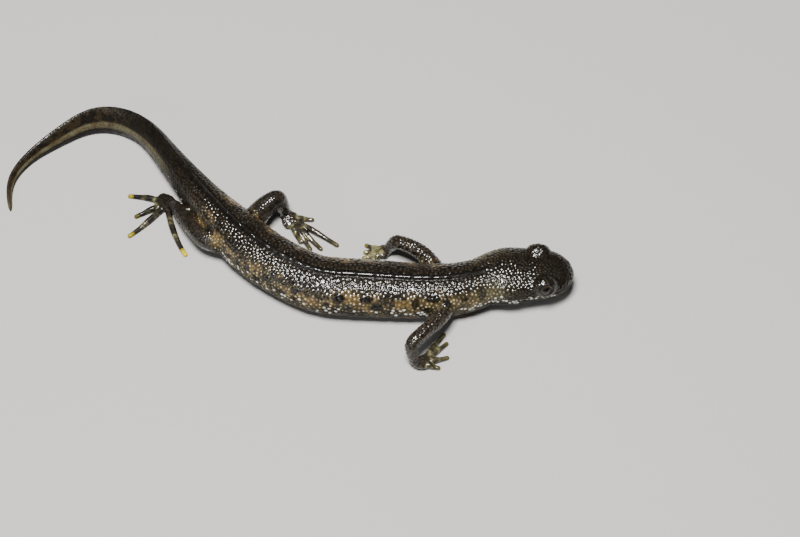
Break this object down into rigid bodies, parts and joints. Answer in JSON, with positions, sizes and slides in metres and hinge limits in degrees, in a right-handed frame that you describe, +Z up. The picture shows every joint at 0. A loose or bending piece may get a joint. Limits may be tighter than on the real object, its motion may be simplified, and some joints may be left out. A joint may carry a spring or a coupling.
{
  "type": "great crested newt",
  "caption": "Life-size great crested newt, an adult male on land, walking with its tail curled round to the right, as a still one-piece model.",
  "frame": {"origin": "on the floor at the bottom centre of the bounding box", "axes": "+X towards the snout, along the longest extent; +Y to the newt's left; +Z up"},
  "size_m": [0.1058, 0.0548, 0.0095],
  "materials": {
    "skin": "wet",
    "eye": "gloss"
  },
  "bodies": {
    "root": {"head": "skin", "neck": "skin", "chest": "skin", "trunk_front": "skin", "trunk_rear": "skin", "hips": "skin", "tail_root": "skin", "tail_fore": "skin", "tail_middle": "skin", "tail_tip": "skin", "left_fore_upper_arm": "skin", "left_fore_forearm": "skin", "left_fore_hand": "skin", "left_hind_thigh": "skin", "left_hind_shank": "skin", "left_hind_foot": "skin", "right_fore_upper_arm": "skin", "right_fore_forearm": "skin", "right_fore_hand": "skin", "right_hind_thigh": "skin", "right_hind_shank": "skin", "right_hind_foot": "skin", "left_eye": "eye", "right_eye": "eye"}
  },
  "joints": []
}
